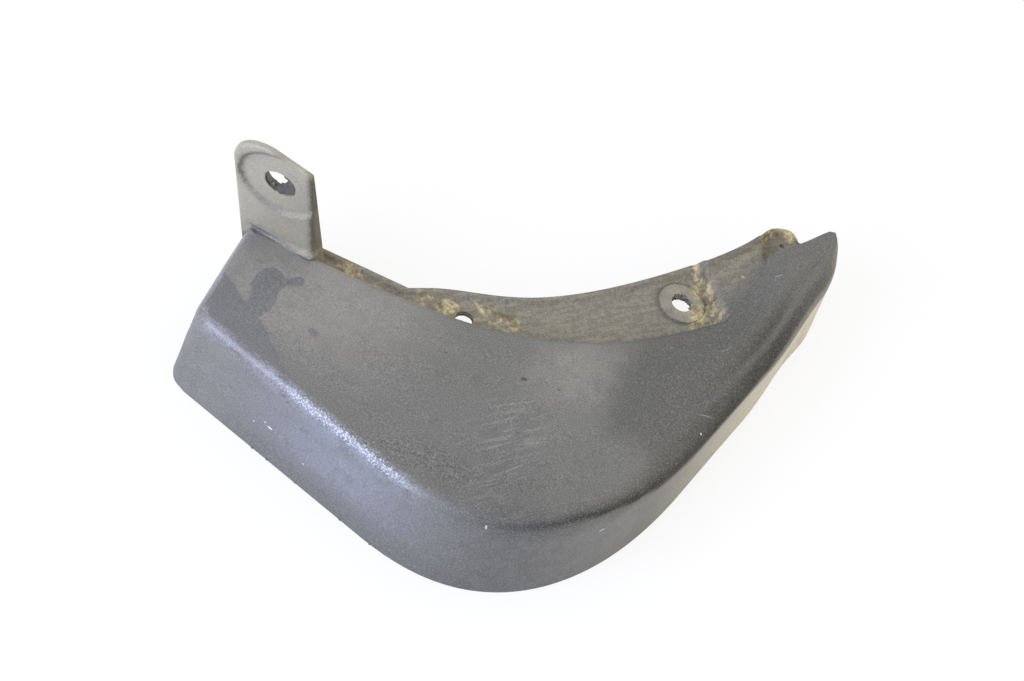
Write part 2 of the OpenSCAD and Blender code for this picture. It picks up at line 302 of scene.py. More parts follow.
def flange_section(out, drop, z_lip, bump):
    lean = STEP_LEAN + 70 * (1 - drop / STEP_H)
    half = np.tan(np.radians(45 - lean / 2))
    c = np.array([-EDGE_R * half, SHELL_H - EDGE_R])
    foot = np.array([drop * np.tan(np.radians(lean)) + FOOT_R * half, SHELL_H - drop + FOOT_R])
    outer, inner = [arc(c, r, 0, 90 - lean, ROLL_STEPS) for r in (EDGE_R, EDGE_R - WALL)]
    fillet, under_fillet = [arc(foot, -r, 90 - lean, 0, 7) for r in (FOOT_R, FOOT_R + WALL)]
    top, low = z_lip + bump, z_lip - WALL
    lip = soften(np.array([
        fillet[-1], [out - 1.5 * LIP_W, z_lip], [out - LIP_W, top], [out - LIP_W / 3, top],
        [out, mix(z_lip, top, 0.5)], [out, z_lip - 0.5 * WALL]]), 1.2 * ARRIS)
    rim = soften(np.array([lip[-1], [out, low], [out - WALL, low]]), ARRIS)
    step = resample(np.concatenate((outer[-1:], fillet)), FALL_STEPS)
    return np.concatenate((
        outer, step[1:], resample(lip, FACE_STEPS - FALL_STEPS)[1:], resample(rim, EDGE_STEPS)[1:],
        resample(np.concatenate(([rim[-1]], under_fillet[::-1], inner[::-1])), INNER_STEPS)[1:]))


def ring_at(s, i, v):
    """One section of the shell, set up on its place in the outline."""
    p, toward = outline[s], normals[s]
    if v == 1 and FLANGE_FIRST <= i <= FLANGE_LAST:
        share = tongue_share(i)
        toward = lip_at(i) - p
        out = np.linalg.norm(toward)
        toward = toward / out
        bump = LIP_H * (1 - rise(FLANGE_LAST - 1, FLANGE_LAST, i))
        line = flange_section(out, mix(STEP_H, 1.5, share), SHELL_H - mix(STEP_H, TONGUE_DROP, share), bump)
    else:
        line = skirt_section(draft(i, v), free_edge(i, v), roll_radius(i, v))
    inward = np.clip((np.arange(len(line)) - ROLL_STEPS - FACE_STEPS) / EDGE_STEPS, 0, 1)[:, None]
    return np.column_stack((mix(p, inner_outline[s], inward) + line[:, :1] * toward, line[:, 1]))


rings = np.array([ring_at(s, i, v) for s, (i, v) in enumerate(loop)])
edge_first = len(stations) + len(across) - 2
place_on_edge = {i: edge_first + len(stations) - 1 - k for k, i in enumerate(stations)}
for first, last in ((0, FLANGE_FIRST), (FLANGE_LAST, FLANGE_LAST + 1)):
    ends = rings[place_on_edge[first]], rings[place_on_edge[last]]
    for i in stations[(stations > first) & (stations < last)]:
        rings[place_on_edge[i]] = mix(ends[0], ends[1], i - first)


def panel_rows(end):
    """The panel's grid between the rolled edges, from the first or the last point of each section."""
    rim = rings[:len(stations), end]
    edge = rings[[place_on_edge[i] for i in stations], end]
    last_side = np.concatenate((rim[-1:], rings[len(stations):edge_first, end], edge[-1:]))
    first_side = np.concatenate((rim[:1], rings[:edge_first + len(stations) - 1:-1, end], edge[:1]))
    rows = mix(rim[:, None], edge[:, None], across[None, :, None])
    swell = CROWN * np.sin(np.pi * across)[None] ** 2 * np.sin(np.pi * stations / LAST)[:, None]
    rows[:, :, 2] += swell
    whole = {1: np.searchsorted(stations, 1), LAST - 1: np.searchsorted(stations, LAST - 1)}
    for k, i in enumerate(stations):
        side, far = (first_side, 1) if i < 1 else (last_side, LAST - 1)
        if i >= 1 and i <= LAST - 1:
            continue
        t = abs(i - (0 if i < 1 else LAST))
        row = mix(side, rows[whole[far]], t)
        row += (1 - across[:, None]) * (rim[k] - row[0]) + across[:, None] * (edge[k] - row[-1])
        rows[k] = row
    return rows


def shell_mesh():
    down = rings.shape[1]
    around = len(loop)
    points = [rings.reshape(-1, 3)]
    quads = [(a * down + k, b * down + k, b * down + k + 1, a * down + k + 1)
             for a in range(around) for b in [(a + 1) % around] for k in range(down - 1)]
    for end in (0, down - 1):
        rows = panel_rows(end)
        ids = np.zeros(rows.shape[:2], int)
        ids[:, 0] = np.arange(len(stations)) * down + end
        ids[-1, 1:-1] = np.arange(len(stations), edge_first) * down + end
        ids[:, -1] = [place_on_edge[i] * down + end for i in stations]
        ids[0, 1:-1] = np.arange(around - 1, edge_first + len(stations) - 1, -1) * down + end
        base = sum(len(p) for p in points)
        inner = rows[1:-1, 1:-1]
        ids[1:-1, 1:-1] = base + np.arange(inner.shape[0] * inner.shape[1]).reshape(inner.shape[:2])
        points.append(inner.reshape(-1, 3))
        quads += [(ids[a, b], ids[a, b + 1], ids[a + 1, b + 1], ids[a + 1, b])
                  for a in range(len(stations) - 1) for b in range(len(across) - 1)]
    return np.concatenate(points), quads


def edge_turned(t):
    d = main_edge(t + 0.01) - main_edge(t - 0.01)
    return np.degrees(np.arctan2(d[1], d[0])) + 90


# The row's origin is the middle of the main hole, in the face of its pad
PAD_H = 1.2
flange_z = SHELL_H - STEP_H
main_hole = main_edge(0.967) + 0.52 * FLANGE_W * ray(edge_turned(0.967))
origin = np.array([*main_hole, flange_z + PAD_H])


def make_piece(name, points, faces):
    """A closed mesh from points in the drawing's millimetres."""
    mesh = bpy.data.meshes.new(name)
    mesh.from_pydata(((np.asarray(points) - origin) * MM).tolist(), [], [tuple(map(int, f)) for f in faces])
    work = bmesh.new()
    work.from_mesh(mesh)
    bmesh.ops.recalc_face_normals(work, faces=work.faces)
    work.to_mesh(mesh)
    work.free()
    piece = bpy.data.objects.new(name, mesh)
    bpy.context.scene.collection.objects.link(piece)
    return piece


# Dried mud on the flange
# Road mud that dried in the step beside the tongue, along the lip and on the end tab.
# It is thick enough there to cast its own relief, so it raises the shell's own skin.
MUD_BEDS = [  # from, to, half width, height
    ([147, 223], [166, 190], 12.5, 0.6), ([130, 222], [146, 238], 6, 0.35), ([66, 97], [100, 116], 9, 0.4),
    ([30, 79], [58, 83], 8, 0.45), ([157, 266], [168, 271], 6.5, 0.6), ([158, 252], [156, 263], 3, 0.7)]


def lumps(x, y, size):
    return 0.5 + 0.5 * noise.fractal(Vector((x / size, y / size, 0)), 0.8, 2.1, 4)


def from_line(p, a, b):
    a, b = np.array(a, float), np.array(b, float)
    t = np.clip(((p - a) @ (b - a)) / ((b - a) @ (b - a)), 0, 1)
    return np.linalg.norm(p - a - t[..., None] * (b - a), axis=-1)


def mud_at(p):
    """Height of the mud over points of the flange."""
    depth = np.zeros(len(p))
    for a, b, half, height in MUD_BEDS:
        depth = np.maximum(depth, height * (1 - rise(0.35 * half, half, from_line(p, a, b))))
    rough = np.array([lumps(x, y, 8) for x, y in p])
    return depth * np.clip(1.9 * rough - 0.25, 0, 1.6)


outside_points = ROLL_STEPS + FACE_STEPS
for i in stations[(stations >= FLANGE_FIRST) & (stations <= FLANGE_LAST)]:
    row = rings[place_on_edge[i], ROLL_STEPS:outside_points - 2]
    low_part = rise(47, 42, row[:, 2])
    row[:, 2] += mud_at(row[:, :2]) * low_part

guard = make_piece("mudguard_moulding", *shell_mesh())


# The ear
# A flat tab moulded on the panel's upper left corner. It leans over the panel, tapers
# from root to top, and has a round hollow pressed about the hole of its fixing.
EAR_W, EAR_H, EAR_T, EAR_ROOT_T, EAR_FOOT_DROP = 38, 64, 3.5, 6.5, 17
EAR_LEAN, EAR_TILT, EAR_TURN, EAR_FLARE = 10, 9.5, 12, 1.5
EAR_HOLE_R, EAR_HOLE_DROP, DISH_R, DISH_DEPTH = 7.5, 22, 20.5, 1.3
EAR_ARRIS, FOOT_FILLET = 1.5, 2.4

ear_place = (Matrix.Translation((*(left_top + [16, 3.8]), SHELL_H))
             @ Matrix.Rotation(np.radians(EAR_TURN), 4, "Z")
             @ Matrix.Rotation(np.radians(90 + EAR_LEAN), 4, "X")
             @ Matrix.Rotation(np.radians(EAR_TILT), 4, "Z"))


def on_ear(points):
    m = np.array(ear_place)
    return np.asarray(points) @ m[:3, :3].T + m[:3, 3]


shoulder_r, nose_r = 0.41 * EAR_W, 4.5
ear_left = -0.585 * EAR_W
ear_right = ear_left + EAR_W
shoulder = np.array([ear_left + shoulder_r, EAR_H - shoulder_r])
nose = np.array([ear_right - nose_r, EAR_H - 11])
between = nose - shoulder
tangent = np.degrees(np.arctan2(between[1], between[0])
                     + np.arccos((shoulder_r - nose_r) / np.linalg.norm(between)))
right_side = np.array([[ear_right, -EAR_FOOT_DROP], [ear_right, nose[1]]]
                      + [nose + nose_r * ray(a) for a in np.linspace(0, tangent, 12)]
                      + [shoulder + shoulder_r * ray(a) for a in np.linspace(tangent, 90, 6)])
left_side = np.array([[ear_left, -EAR_FOOT_DROP], [ear_left, shoulder[1]]]
                     + [shoulder + shoulder_r * ray(a) for a in np.linspace(180, 90, 40)])


def ear_mesh():
    heights = np.concatenate((
        np.linspace(-EAR_FOOT_DROP, -4, 8), np.linspace(-3.5, 5, 24), np.linspace(6, shoulder[1], 44),
        shoulder[1] + shoulder_r * np.sin(np.radians(np.linspace(3, 87, 26)))))
    fringe = EAR_ARRIS * np.array([0, 0.06, 0.2, 0.45, 1.0])
    hole = np.array([0, EAR_H - EAR_HOLE_DROP])
    slope = (EAR_ROOT_T - EAR_T) / EAR_H
    front, back = [], []
    for y in heights:
        a, b = [np.interp(y, side[:, 1], side[:, 0]) for side in (left_side, right_side)]
        edge = fringe * min(1, (b - a) / 4)
        x = np.concatenate((a + edge, np.linspace(a + edge[-1], b - edge[-1], 34)[1:-1], b - edge[::-1]))
        p = np.column_stack((x, np.full(len(x), y)))
        inset = np.minimum(x - ear_left, ear_right - x)
        off = p - shoulder
        lean = np.degrees(np.arctan2(off[:, 1], off[:, 0]))
        round_part = (lean >= tangent) & (off[:, 1] > 0)
        inset = np.where(round_part, shoulder_r - np.linalg.norm(off, axis=1), inset)
        inset = np.minimum(inset, shoulder_r - off @ ray(tangent))
        worn = EAR_ARRIS * (1 - np.sqrt(1 - (1 - np.clip(inset / EAR_ARRIS, 0, 1)) ** 2))
        dish = DISH_DEPTH * (1 - rise(DISH_R - 2.6, DISH_R + 0.4, np.linalg.norm(p - hole, axis=1)))
        short = FOOT_FILLET - np.clip(y, 0, FOOT_FILLET)
        fillet = (FOOT_FILLET - np.sqrt(FOOT_FILLET**2 - short**2)) * rise(-3.5, -0.8, y)
        wide = 1 + 2 * EAR_FLARE / EAR_W * (EAR_H - y) / (EAR_H + EAR_FOOT_DROP) * 0.5
        foot = fillet * rise(ear_left + 5, ear_left + 11, x)
        front.append(np.column_stack((p, foot - worn - dish)))
        back.append(np.column_stack((a + (x - a) * wide, p[:, 1], 0.5 * worn - EAR_T - slope * (EAR_H - y))))
    grid = np.array([front, back])
    rows, columns = grid.shape[1:3]
    ids = np.arange(2 * rows * columns).reshape(2, rows, columns)
    quads = [(ids[s, r, c], ids[s, r, c + 1], ids[s, r + 1, c + 1], ids[s, r + 1, c])
             for s in (0, 1) for r in range(rows - 1) for c in range(columns - 1)]
    border = list(ids[0, 0]) + list(ids[0, 1:, -1]) + list(ids[0, -1, -2::-1]) + list(ids[0, -2:0:-1, 0])
    shift = rows * columns
    quads += [(a, b, b + shift, a + shift) for a, b in zip(border, border[1:] + border[:1])]
    return on_ear(grid.reshape(-1, 3)), quads


ear = make_piece("ear_blank", *ear_mesh())
work = bmesh.new()
work.from_mesh(ear.data)
cut = bmesh.ops.bisect_plane(
    work, geom=work.verts[:] + work.edges[:] + work.faces[:], clear_inner=True,
    plane_co=Vector((0, 0, (flange_z - WALL + 0.2 - origin[2]) * MM)), plane_no=Vector((0, 0, 1)))
rim_edges = [e for e in cut["geom_cut"] if isinstance(e, bmesh.types.BMEdge)]
bmesh.ops.contextual_create(work, geom=rim_edges)
bmesh.ops.recalc_face_normals(work, faces=work.faces)
work.to_mesh(ear.data)
work.free()


# The pad and the holes
# A low round pad is moulded about the main hole. The holes' edges are torn and ragged,
# as if their fixings had been pulled out. The dimple in the tab is blind.
PAD_R, MAIN_R, SECOND_R, DIMPLE_R, DIMPLE_DEPTH = 11.5, 4.75, 4.25, 1.25, 1.5
second_hole = main_edge(0.385) + 10.7 * ray(edge_turned(0.385))
AROUND = 64
TEETH = 3.2  # how far the ragged edge's pattern goes round, so how many teeth it has


def turned(profile, place=None, torn=None, roughness=0.0):
    """A closed solid of revolution; torn is the heading and half width of its ragged side."""
    angles = np.linspace(0, 2 * np.pi, AROUND, endpoint=False)
    points = []
    for k, (radius, z) in enumerate(profile):
        swing = np.zeros(AROUND)
        if torn:
            off = np.degrees(np.abs((angles - np.radians(torn[0]) + np.pi) % (2 * np.pi) - np.pi))
            side = 1 - rise(0.6 * torn[1], torn[1], off)
            bite = [noise.fractal(Vector((TEETH * np.cos(a), TEETH * np.sin(a), 0.5 * z)), 0.6, 2.0, 4)
                    for a in angles]
            swing = side * roughness * (np.array(bite) + 0.25)
        points += [[(radius + d) * np.cos(a), (radius + d) * np.sin(a), z] for a, d in zip(angles, swing)]
    rings_of = np.arange(len(profile) * AROUND).reshape(len(profile), AROUND)
    faces = [(low[a], low[b], high[b], high[a])
             for low, high in zip(rings_of, rings_of[1:]) for a in range(AROUND) for b in [(a + 1) % AROUND]]
    faces += [tuple(rings_of[0]), tuple(rings_of[-1])]
    points = np.array(points)
    return (place(points) if place else points), faces


def straight(p):
    return lambda points: points + [p[0], p[1], flange_z]


def ear_hole_place(points):
    return on_ear(points + [0, EAR_H - EAR_HOLE_DROP, 0])


WEB_DEPTH, WEB_SHIFT, WEB_R = 2.1, np.array([-2.1, 1.5, 0]), 5.3


def torn_web_place(points):
    return ear_hole_place(points + WEB_SHIFT)


PAD_EDGE = [(PAD_R + 0.5, -1.5), (PAD_R + 0.45, 0.05), (PAD_R + 0.1, 0.35), (PAD_R, 0.85),
            (PAD_R - 0.12, 1.05), (PAD_R - 0.4, 1.18), (PAD_R - 0.8, PAD_H), (MAIN_R + 1.2, PAD_H),
            (MAIN_R - 1, PAD_H)]
pad = make_piece("pad_blank", *turned(PAD_EDGE, straight(main_hole)))


def bore(radius, low, high, flare):
    steps = np.linspace(low, high, 12)
    return [(radius + flare * rise(high - 2.2, high, z), z) for z in steps]


cutters = [
    make_piece("main_cut", *turned(bore(MAIN_R, -6, PAD_H + 0.6, 0.5), straight(main_hole), (80, 105), 1.3)),
    make_piece("second_cut", *turned(bore(SECOND_R, -6, 1.6, 0.3), straight(second_hole), (120, 80), 0.6)),
    make_piece("dimple_cut", *turned([(DIMPLE_R * 0.6, -DIMPLE_DEPTH), (DIMPLE_R, -1), (DIMPLE_R + 0.1, 3)],
                                     straight(tab_mid))),
    make_piece("ear_cut", *turned(bore(EAR_HOLE_R, -WEB_DEPTH, 1.5, 0.3), ear_hole_place, (-40, 95), 0.8)),
    make_piece("web_cut", *turned([(WEB_R, z) for z in np.linspace(-9, 0, 10)], torn_web_place,
                                  (-40, 110), 1.7))]

# Burrs that the wear has turned up on the skirt's free edge
BURRS = [(53, 1.15), (61.5, 1.0), (77.8, 0.8), (103.9, 1.1), (121, 0.8)]


def burr(x, size):
    shape = np.array([[0.9, 0, 0], [0, 1, 0.2], [-1.1, 0, 0.1], [0, -0.8, -0.1],
                      [0.1, 0.1, 1.1], [-0.2, 0, -0.8]])
    faces = [(0, 1, 4), (1, 2, 4), (2, 3, 4), (3, 0, 4), (1, 0, 5), (2, 1, 5), (3, 2, 5), (0, 3, 5)]
    return shape * size + [x, 0.1, 0.1 + 0.8 * size], faces


burrs = [make_piece(f"burr_{k}", *burr(x, size)) for k, (x, size) in enumerate(BURRS)]


def combine(target, tool, how):
    step = target.modifiers.new(tool.name, "BOOLEAN")
    step.operation = how
    step.solver = "MANIFOLD"
    step.object = tool
    shape = bpy.data.meshes.new_from_object(target.evaluated_get(bpy.context.evaluated_depsgraph_get()))
    target.modifiers.clear()
    target.data = shape
    bpy.data.objects.remove(tool)


for piece in [ear, pad] + burrs:
    combine(guard, piece, "UNION")
for piece in cutters:
    combine(guard, piece, "DIFFERENCE")
guard.data.name = guard.name
guard.data.shade_smooth()
guard.data.set_sharp_from_angle(angle=np.radians(38))


# Wear, stains and dirt, with painted light and shade
# Each mark on the guard has its own place, kept on the skin as a distance in
# millimetres, so that its edge stays crisp, or as a share from 0 to 1 where it fades.
skin = guard.data
count = len(skin.vertices)
flat = np.empty(count * 3)
skin.vertices.foreach_get("co", flat)
places = flat.reshape(-1, 3) / MM + origin
facing = np.empty(count * 3)
skin.vertices.foreach_get("normal", facing)
facing = facing.reshape(-1, 3)
x, y, z = places.T
ear_turn_back = np.array(ear_place.inverted())
on_tab = places @ ear_turn_back[:3, :3].T + ear_turn_back[:3, 3]
plan = places[:, :2]

# Places read off the photograph are kept as its pixels. The camera's line of sight
# through a pixel takes each one back to the guard.
PHOTO_W, PHOTO_H = 1024, 681
PANEL_MID = SHELL_H + CROWN / 2
eye = np.array(CAMERA_PLACE) / MM + origin
bpy.context.view_layer.update()


def sight(u, v):
    aim = Vector((u - PHOTO_W / 2, PHOTO_H / 2 - v, -LENS / SENSOR * PHOTO_W))
    return (camera.matrix_world.to_3x3() @ aim).normalized()


def on_panel(u, v):
    """Place at the panel's middle height that the camera sees at a pixel."""
    line = np.array(sight(u, v))
    return eye + line * (PANEL_MID - eye[2]) / line[2]


def on_skin(u, v):
    """Place on the guard's own skin that the camera sees at a pixel."""
    spot = guard.ray_cast(CAMERA_PLACE, sight(u, v))[1]
    return np.array(spot) / MM + origin


def panel_outline(pixels):
    return [tuple(on_panel(u, v)[:2]) for u, v in pixels]


STAIN = panel_outline([
    (251, 282), (252, 280), (256, 273), (266, 267), (276, 266), (281, 270), (288, 279), (295, 276),
    (302, 275), (306, 280), (302, 285), (295, 287), (290, 284), (284, 286), (278, 293), (276, 301),
    (271, 309), (260, 316), (270, 337), (281, 361), (298, 379), (318, 397), (337, 414), (332, 419),
    (210, 320), (206, 298), (218, 282), (225, 269), (247, 303), (251, 296), (252, 289)])
CHARCOAL = panel_outline([
    (639, 339), (624, 366), (612, 393), (607, 417), (610, 436), (634, 441), (648, 461), (648, 475),
    (693, 524), (924, 260), (756, 136), (683, 262)])
COARSE = panel_outline([(352, 427), (409, 437), (467, 456), (467, 494), (409, 469), (371, 446)])


def inside_by(points, corners):
    """How far each point lies inside a closed outline, in millimetres; below 0 outside."""
    ring = list(zip(corners, corners[1:] + corners[:1]))
    far = np.min([from_line(points, a, b) for a, b in ring], axis=0)
    odd = np.zeros(len(points), bool)
    for (ax, ay), (bx, by) in ring:
        if ay != by:
            odd ^= ((ay > points[:, 1]) != (by > points[:, 1])) & (
                points[:, 0] < ax + (bx - ax) * (points[:, 1] - ay) / (by - ay))
    return np.where(odd, far, -far)


def panel_ring():
    return [tuple(p) for p in outline[::2]]


beside = (np.abs(on_tab[:, 0] - (ear_left + ear_right) / 2) < EAR_W / 2 + 2) & (np.abs(on_tab[:, 2] + 3) < 7)
hanging = (on_tab[:, 1] > -7) & (z > SHELL_H - 8) & (inside_by(plan, panel_ring()) < -1.5)
is_ear = beside & ((z > SHELL_H + 1.3) | hanging)


def blob(cx, cy, rx, ry):
    return np.exp(-((x - cx) / rx) ** 2 - ((y - cy) / ry) ** 2)


flange_stations = np.linspace(FLANGE_FIRST, FLANGE_LAST, 3 * (FLANGE_LAST - FLANGE_FIRST) + 1)
PAST_LIP = 6
flange_area = [tuple(edge_at(i)) for i in flange_stations]
for i in flange_stations[::-1]:
    toward = lip_at(i) - edge_at(i)
    flange_area.append(tuple(lip_at(i) + PAST_LIP * toward / np.linalg.norm(toward)))
flange_face = (inside_by(plan, flange_area) > 0.8) & (facing[:, 2] > -0.2) & (z > 33) & ~is_ear
crust = np.zeros(count)
near = flange_face & (z < 45)
crust[near] = mud_at(plan[near])
film = flange_face * rise(49.3, 46.5, z)

# Painted shade lies in a dark line low on the roll, thin at the bend and broad up the outer leg
LINE_Y, LINE_Z = [14, 50, 75, 100, 117, 160, 209], [46.2, 46.6, 44.6, 42.2, 42.2, 44.7, 47.8]
line_z, line_reach = np.interp(y, LINE_Y, LINE_Z), np.interp(y, [20, 60, 110], [1.2, 2.2, 7])
painted_roll_shade_mask = rise(line_z - 1.7, line_z - 0.5, z) * np.exp(-(np.clip(z - line_z, 0, 99) / line_reach) ** 2)
painted_roll_shade_mask *= (x > 130) * rise(0.02, 0.28, facing[:, 0]) * (1 - film) * rise(5, 32, y) * rise(290, 230, y)
painted_roll_shade_mask *= np.where(y > 90, rise(184, 198, x + 0.09 * np.clip(y - 160, 0, 200)), 1)
from_main = np.hypot(x - main_hole[0], y - main_hole[1])
from_second = np.hypot(x - second_hole[0], y - second_hole[1])
from_ear_hole = np.hypot(on_tab[:, 0], on_tab[:, 1] - EAR_H + EAR_HOLE_DROP)
marks = {
    "stain": inside_by(plan, STAIN) - 3 * rise(40, 85, x),
    "charcoal": inside_by(plan, CHARCOAL),
    "coarse": rise(-5, 5, inside_by(plan, COARSE)) + 0.6 * rise(0, 25, inside_by(plan, CHARCOAL)),
    "pale": np.clip(1.1 * blob(22, 45, 38, 42) + 0.45 * blob(70, 62, 30, 34)
                    + 0.75 * blob(138, 108, 22, 30), 0, 1),
    "scuff": np.clip(blob(140, 58, 14, 20) + 0.8 * blob(150, 30, 10, 14), 0, 1) * (z > 46),
    # The roll's dark line is painted shade
    "film": film, "crust": crust, "painted_roll_shade": painted_roll_shade_mask, "ear": is_ear.astype(float),
    # The ridge's colour is rubbing with a painted bluish sheen; the glints are a painted highlight
    "ridge": (rise(41, 47.5, z) * rise(50.4, 49.6, z) * (facing[:, 1] < -0.15) * rise(146, 118, x)
              * (z < 50.5)),
    "glint": (rise(45.8, 47.5, z) * rise(49.9, 49.0, z) * (facing[:, 1] < -0.2) * rise(40, 75, x)
              * rise(128, 112, x)),
    "seat": (from_main < PAD_R + 0.2) * (z > flange_z + 0.5) * (z < flange_z + 3),
    # Dust on the skirt's right side, with painted light on that side
    "dust_and_painted_light": (facing[:, 0] > 0.7) * rise(44, 39, z) * rise(60, 210, y) * (x > 150),
    "horn": rise(185, 240, y) * (z > 44) * (1 - film),
    # Painted cool light on the front of the skirt, which faces the window
    "painted_cool_light": blob(92, 0, 42, 30) * (facing[:, 1] < -0.5) * rise(5, 25, z),
    # Painted shade over the bend
    "painted_bend_shade": blob(166, 24, 34, 26),
    "burr": ((y < -0.1) & (z < 3) & (x > 40) & (x < 130)).astype(float),
    "edge": is_ear * (facing[:, 0] > 0.55) + 0.8 * is_ear * rise(ear_right - 4, ear_right - 1, on_tab[:, 0]),
    "torn": ((from_ear_hole < EAR_HOLE_R + 0.5) * is_ear
             * rise(-DISH_DEPTH - 0.2, -DISH_DEPTH - 0.9, on_tab[:, 2])
             + (from_main < MAIN_R + 0.9) * rise(flange_z + 1.1, flange_z + 0.4, z)
             + (from_second < SECOND_R + 0.8) * rise(flange_z, flange_z - 0.8, z)),
    # Painted shade in the ear's dish, darkest on its left side
    "dish": (np.exp(-((from_ear_hole - DISH_R + 1.4) / 1.9) ** 2)
             * is_ear * rise(14, -8, on_tab[:, 0]) * (facing[:, 1] < 0)),
    # Dirt and painted shade in a ring at the pad's foot
    "pad": np.exp(-((from_main - PAD_R - 0.5) / 0.9) ** 2),
    "root": (is_ear * rise(9, 2, on_tab[:, 1])
             + 0.6 * (~is_ear) * (z > 49) * rise(8, 3, np.hypot(x - 6, y - 62)))}
for name, values in marks.items():
    layer = skin.attributes.new(name, "FLOAT", "POINT")
    layer.data.foreach_set("value", values.astype(np.float32))

# Moulded polypropylene, grained, with road grime
# Black polypropylene bleached grey by sun and scuffs: a fine moulded grain breaks the
# gloss into small points, worn areas are paler, and dried mud lies dull and ochre on it.
# Some light and shade is painted into its colour as well.
plastic = bpy.data.materials.new("polypropylene_grained_weathered")
plastic.use_nodes = True
tree = plastic.node_tree
tree.nodes.clear()


def linear(hex_colour):
    srgb = [int(hex_colour[k:k + 2], 16) / 255 for k in (0, 2, 4)]
    return [c / 12.92 if c <= 0.04045 else ((c + 0.055) / 1.055) ** 2.4 for c in srgb] + [1]


MATH, RANGE, MIX, NOISE = "ShaderNodeMath", "ShaderNodeMapRange", "ShaderNodeMix", "ShaderNodeTexNoise"


def add(kind, sockets=(), out=0, **settings):
    """Adds a node with its settings, sets or links its sockets, and gives one of its outputs."""
    node = tree.nodes.new(kind)
    for key, value in settings.items():
        setattr(node, key, value)
    for key, value in sockets.items() if isinstance(sockets, dict) else enumerate(sockets):
        if isinstance(value, bpy.types.NodeSocket):
            tree.links.new(value, node.inputs[key])
        else:
            node.inputs[key].default_value = value
    return node.outputs[out] if node.outputs else None


place = add("ShaderNodeTexCoord", out="Object")
GRAIN, MOTTLE, CLOUD, LUMP, SPECK = 0.62, 7, 38, 2.2, 0.95
# The real grain is about 0.3 mm across, too fine to show, so it is drawn twice as coarse
grain, mottle, cloud, lump, specks = [
    add(NOISE, {"Vector": place, "Scale": 1 / (size * MM), "Detail": detail, "Roughness": roughness})
    for size, detail, roughness in (
        (GRAIN, 3, 0.6), (MOTTLE, 4, 0.6), (CLOUD, 3, 0.6), (LUMP, 5, 0.6), (SPECK, 2, 0.7))]
scuff, coarse, ridge, film, crust, painted_roll_shade, root = [
    add("ShaderNodeAttribute", out="Fac", attribute_name=name)
    for name in ("scuff", "coarse", "ridge", "film", "crust", "painted_roll_shade", "root")]

# The edges of the stain and of the charcoal side wander with the mottle
ragged = add(MATH, (mottle, 3.0, -1.5), operation="MULTIPLY_ADD")
fine = add(MATH, (grain, 1.6, -0.8), operation="MULTIPLY_ADD")
stain, charcoal, pale = [
    add(MATH, (add("ShaderNodeAttribute", out="Fac", attribute_name=name), drift), operation="ADD")
    for name, drift in (
        ("stain", add(MATH, (ragged, 0.35), operation="MULTIPLY")),
        ("charcoal", add(MATH, (ragged, 3.5, fine), operation="MULTIPLY_ADD")),
        ("pale", -0.35))]
pale = add(MATH, (cloud, 0.7, pale), operation="MULTIPLY_ADD")

# Scuffs run in one sweep across the lower bend, about 1 mm wide and 15 mm long
SWEEP, SCUFF_L, SCUFF_W = np.radians(61), 15, 1.9
sweep = add("ShaderNodeMapping", {
    "Vector": place, "Rotation": (0, 0, SWEEP), "Scale": (SCUFF_L * MM, SCUFF_W * MM, SCUFF_L * MM)},
    vector_type="TEXTURE")
scuffs = add(NOISE, {"Vector": sweep, "Scale": 1, "Detail": 3, "Roughness": 0.6})
rub_and_sheen = add(MATH, (specks, 0.5, add(MATH, (mottle, 0.5), operation="MULTIPLY")), operation="MULTIPLY_ADD")
streaks = add(MATH, (scuffs, 0.5, add(MATH, (lump, 0.5), operation="MULTIPLY")), operation="MULTIPLY_ADD")

# The ear is bleached palest
ear_tone = add(MIX, {0: add(RANGE, (cloud, 0.3, 0.7), interpolation_type="SMOOTHSTEP"),
                     6: linear("a79f89"), 7: linear("9b9583")}, out=2, data_type="RGBA")

# The wear, with painted light and shade, in layers from the bare plastic up: the mark that
# holds it, the pattern that breaks it up, that pattern's range, the layer's weakest and strongest share, its
# colour
WEAR_AND_PAINTED_LIGHT = [
    (None, pale, 0, 1, 0, 1, "86837a"), (None, charcoal, -9, 9, 0, 0.88, "53524d"),
    (None, stain, -0.5, 0.5, 0, 0.85, "696968"), (None, mottle, 0.42, 0.68, 0, 0.22, "5f5e59"),
    (scuff, mottle, 0, 1, 0.3, 0.3, "62625e"), (scuff, scuffs, 0.5, 0.62, 0, 0.5, "918f86"),
    # Coarse speckle: the hollows of the grain full of dirt and its tops rubbed pale
    (coarse, specks, 0.5, 0.38, 0, 0.6, "3d3d3a"), (coarse, specks, 0.58, 0.7, 0, 0.5, "a3a29a"),
    # The dark line low on the roll is painted shade
    # The pale layer on the skirt's right side is dust with painted light
    (painted_roll_shade, mottle, 0.2, 0.6, 0.7, 0.98, "262622"), ("dust_and_painted_light", mottle, 0.3, 0.65, 0.7, 0.9, "cfc8b4"),
    # The darker layer over the bend is painted shade
    ("horn", mottle, 0, 1, 0.3, 0.3, "7a7973"), ("painted_bend_shade", mottle, 0.3, 0.6, 0.3, 0.6, "4c4b46"),
    # Painted cool light on the front of the skirt, then the burrs
    ("painted_cool_light", mottle, 0.3, 0.6, 0.2, 0.45, "949aa6"), ("burr", mottle, 0, 1, 1, 1, "3a3a38"),
    # The ridge is rubbed pale on its upper side and carries a painted bluish sheen there, and painted glints
    # make bright points beside the bend
    (ridge, rub_and_sheen, 0.42, 0.6, 0, 0.4, "a2a3a8"), ("glint", specks, 0.52, 0.62, 0, 0.75, "dbe1ee"),
    # The dish's darker ring is painted shade
    ("ear", mottle, 0, 1, 1, 1, ear_tone), ("dish", mottle, 0.3, 0.6, 0.35, 0.7, "6f6d63"),
    ("edge", mottle, 0.3, 0.6, 0.5, 0.9, "656050"), ("torn", mottle, 0, 1, 0.9, 0.9, "3b3a36"),
    (root, mottle, 0.35, 0.65, 0.1, 0.8, "8e8a78")]

